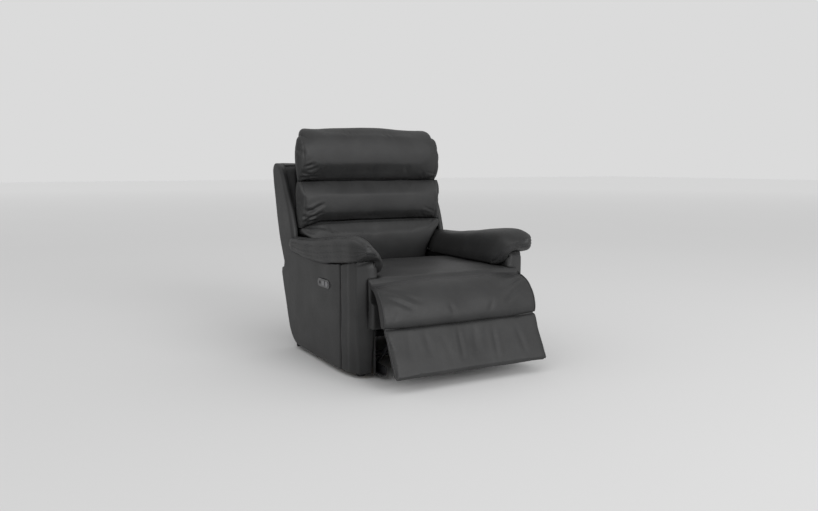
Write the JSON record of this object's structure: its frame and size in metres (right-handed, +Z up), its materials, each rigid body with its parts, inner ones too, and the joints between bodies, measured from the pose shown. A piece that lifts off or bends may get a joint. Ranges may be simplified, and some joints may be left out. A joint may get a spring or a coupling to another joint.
{
  "type": "recliner armchair",
  "caption": "Power recliner armchair in charcoal leather: pillow arms, stacked back cushions, fold-out footrest and a control panel on one arm.",
  "frame": {"origin": "on the floor, under the centre of the chair's bounding box at rest", "axes": "+Z up; the sitter faces -Y; +X is the sitter's left, so the control panel is on the -X arm"},
  "size_m": [0.9, 1.2261, 1.0724],
  "materials": {
    "leather": "soft satin, fine grain",
    "boards": "raw plywood",
    "black_steel": "black satin enamel",
    "black_plastic": "matte black",
    "webbing_cloth": "woven elastic webbing",
    "spring_wire": "drawn spring wire"
  },
  "bodies": {
    "base": {"actuator_brackets": "black_steel", "actuator_rail": "black_steel", "arm_base_rails": "boards", "arm_front_panel_left": "leather", "arm_front_panel_right": "leather", "arm_inner_panel_left": "boards", "arm_inner_panel_right": "boards", "arm_outer_panel_left": "leather", "arm_outer_panel_right": "leather", "arm_pad_left": "leather", "arm_pad_right": "leather", "arm_rear_post_left": "boards", "arm_rear_post_right": "boards", "arm_top_boards": "boards", "back_hinge_pins": "black_steel", "control_bezel": "black_plastic", "floor_glides": "black_plastic", "floor_runners": "black_steel", "front_cross_tube": "black_steel", "gearbox": "black_plastic", "hinge_plates": "black_steel", "motor": "black_steel", "power_inlet": "black_plastic", "power_supply": "black_plastic", "rear_base_panel": "leather", "rear_cross_tube": "black_steel", "seat_cushion": "leather", "seat_front_border": "leather", "seat_front_rail": "boards", "seat_front_roll": "leather", "seat_rear_rail": "boards", "seat_side_rail_left": "boards", "seat_side_rail_right": "boards", "seat_springs": "spring_wire", "usb_socket": "black_plastic"},
    "chaise": {"chaise_board": "boards", "chaise_brackets": "black_steel", "chaise_pad": "leather"},
    "footrest": {"footrest_board": "boards", "footrest_brackets": "black_steel", "footrest_pad": "leather"},
    "drive_shaft": {"drive_tube": "black_steel"},
    "lower_links": {"lower_links": "black_steel"},
    "upper_links": {"upper_links": "black_steel"},
    "actuator_carriage": {"actuator_carriage": "black_steel"},
    "backrest": {"back_stiles": "boards", "back_bottom_rail": "boards", "back_top_rail": "boards", "back_webbing": "webbing_cloth", "back_wing_right": "leather", "back_wing_left": "leather", "back_rear_panel": "leather", "lower_back_cushion": "leather", "lumbar_cushion": "leather", "head_cushion": "leather", "back_brackets": "black_steel"},
    "button_extend": {"button_extend": "black_plastic"},
    "button_retract": {"button_retract": "black_plastic"}
  },
  "joints": [
    {"name": "footrest_fold", "type": "hinge", "parent": "base", "child": "chaise", "pos_m": [0, -0.428, 0.362], "axis": [-1, 0, 0], "range_deg": [-20, 54]},
    {"name": "footrest_hinge", "type": "hinge", "parent": "chaise", "child": "footrest", "pos_m": [0, -0.48673, 0.23865], "axis": [-1, 0, 0], "range_deg": [-4.2, 11]},
    {"name": "drive_turn", "type": "hinge", "parent": "base", "child": "drive_shaft", "pos_m": [0, -0.2471, 0.1998], "axis": [-1, 0, 0], "range_deg": [-21, 56]},
    {"name": "lower_link_swing", "type": "hinge", "parent": "drive_shaft", "child": "lower_links", "pos_m": [0, -0.2992, 0.0482], "axis": [-1, 0, 0], "range_deg": [-56, 21]},
    {"name": "upper_link_swing", "type": "hinge", "parent": "drive_shaft", "child": "upper_links", "pos_m": [0, -0.2547, 0.163], "axis": [-1, 0, 0], "range_deg": [-56.5, 21]},
    {"name": "actuator_slide", "type": "slide", "parent": "base", "child": "actuator_carriage", "axis": [0, -1, 0], "range_m": [-0.025, 0.066]},
    {"name": "recline", "type": "hinge", "parent": "base", "child": "backrest", "pos_m": [0, 0.41, 0.39], "axis": [-1, 0, 0], "range_deg": [0, 25]},
    {"name": "button_extend_press", "type": "slide", "parent": "base", "child": "button_extend", "axis": [1, 0, 0], "range_m": [0, 0.0015], "stiffness_N_per_m": 400, "springref_m": -0.001},
    {"name": "button_retract_press", "type": "slide", "parent": "base", "child": "button_retract", "axis": [1, 0, 0], "range_m": [0, 0.0015], "stiffness_N_per_m": 400, "springref_m": -0.001}
  ],
  "couplings": [
    {"joint": "footrest_hinge", "follows": "footrest_fold", "ratio": 0.2},
    {"joint": "drive_turn", "follows": "footrest_fold", "ratio": 1.0333},
    {"joint": "lower_link_swing", "follows": "footrest_fold", "ratio": -1.0235},
    {"joint": "upper_link_swing", "follows": "footrest_fold", "ratio": -1.0346},
    {"joint": "actuator_slide", "follows": "footrest_fold", "m_per_rad": 0.0694}
  ]
}
